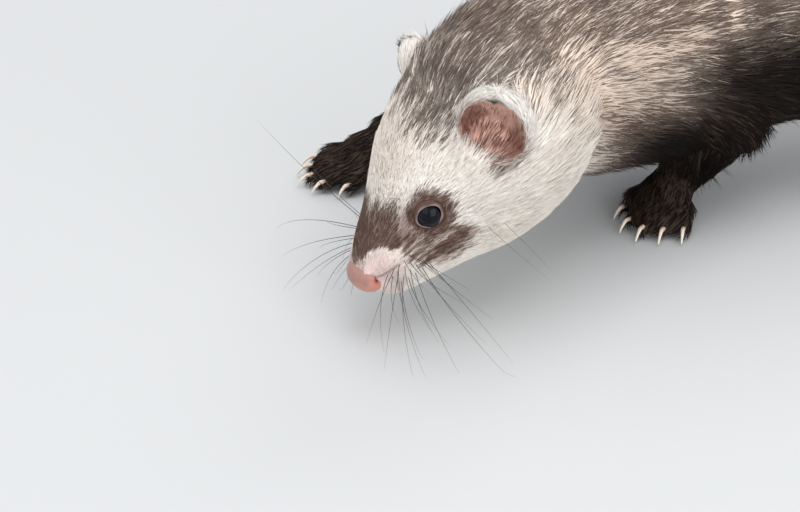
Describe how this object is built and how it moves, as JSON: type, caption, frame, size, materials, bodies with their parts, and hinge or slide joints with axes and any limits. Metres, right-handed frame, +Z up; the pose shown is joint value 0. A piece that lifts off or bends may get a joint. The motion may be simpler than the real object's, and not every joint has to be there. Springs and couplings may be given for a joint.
{
  "type": "animal figure",
  "caption": "Life-size still model of a sable ferret standing on four paws, head lowered to sniff, short dense coat, long dark-tipped guard hairs.",
  "frame": {"origin": "on the floor, under the middle of the animal's bounding box", "axes": "+Z up, the head towards -X and the tail towards +X, the animal's left side towards -Y"},
  "size_m": [0.4528, 0.176, 0.093],
  "materials": {
    "pale_coat": "soft fur, cream under dark-tipped guard hairs",
    "dark_coat": "soft black-brown fur",
    "ear": "pink skin with a pale furry rim",
    "nose": "moist pink",
    "eye": "wet black",
    "claw": "ivory horn"
  },
  "bodies": {
    "root": {"belly": "pale_coat", "chest": "pale_coat", "claw_fore_left_1": "claw", "claw_fore_left_2": "claw", "claw_fore_left_3": "claw", "claw_fore_left_4": "claw", "claw_fore_left_5": "claw", "claw_fore_right_1": "claw", "claw_fore_right_2": "claw", "claw_fore_right_3": "claw", "claw_fore_right_4": "claw", "claw_fore_right_5": "claw", "claw_hind_left_1": "claw", "claw_hind_left_2": "claw", "claw_hind_left_3": "claw", "claw_hind_left_4": "claw", "claw_hind_left_5": "claw", "claw_hind_right_1": "claw", "claw_hind_right_2": "claw", "claw_hind_right_3": "claw", "claw_hind_right_4": "claw", "claw_hind_right_5": "claw", "ear_left": "ear", "ear_right": "ear", "eye_left": "eye", "eye_right": "eye", "forearm_fore_left": "dark_coat", "forearm_fore_right": "dark_coat", "head": "pale_coat", "neck": "pale_coat", "nose": "nose", "paw_fore_left": "dark_coat", "paw_fore_right": "dark_coat", "paw_hind_left": "dark_coat", "paw_hind_right": "dark_coat", "rump": "pale_coat", "shank_hind_left": "dark_coat", "shank_hind_right": "dark_coat", "tail": "dark_coat", "thigh_hind_left": "dark_coat", "thigh_hind_right": "dark_coat", "upper_arm_fore_left": "dark_coat", "upper_arm_fore_right": "dark_coat"}
  },
  "joints": []
}
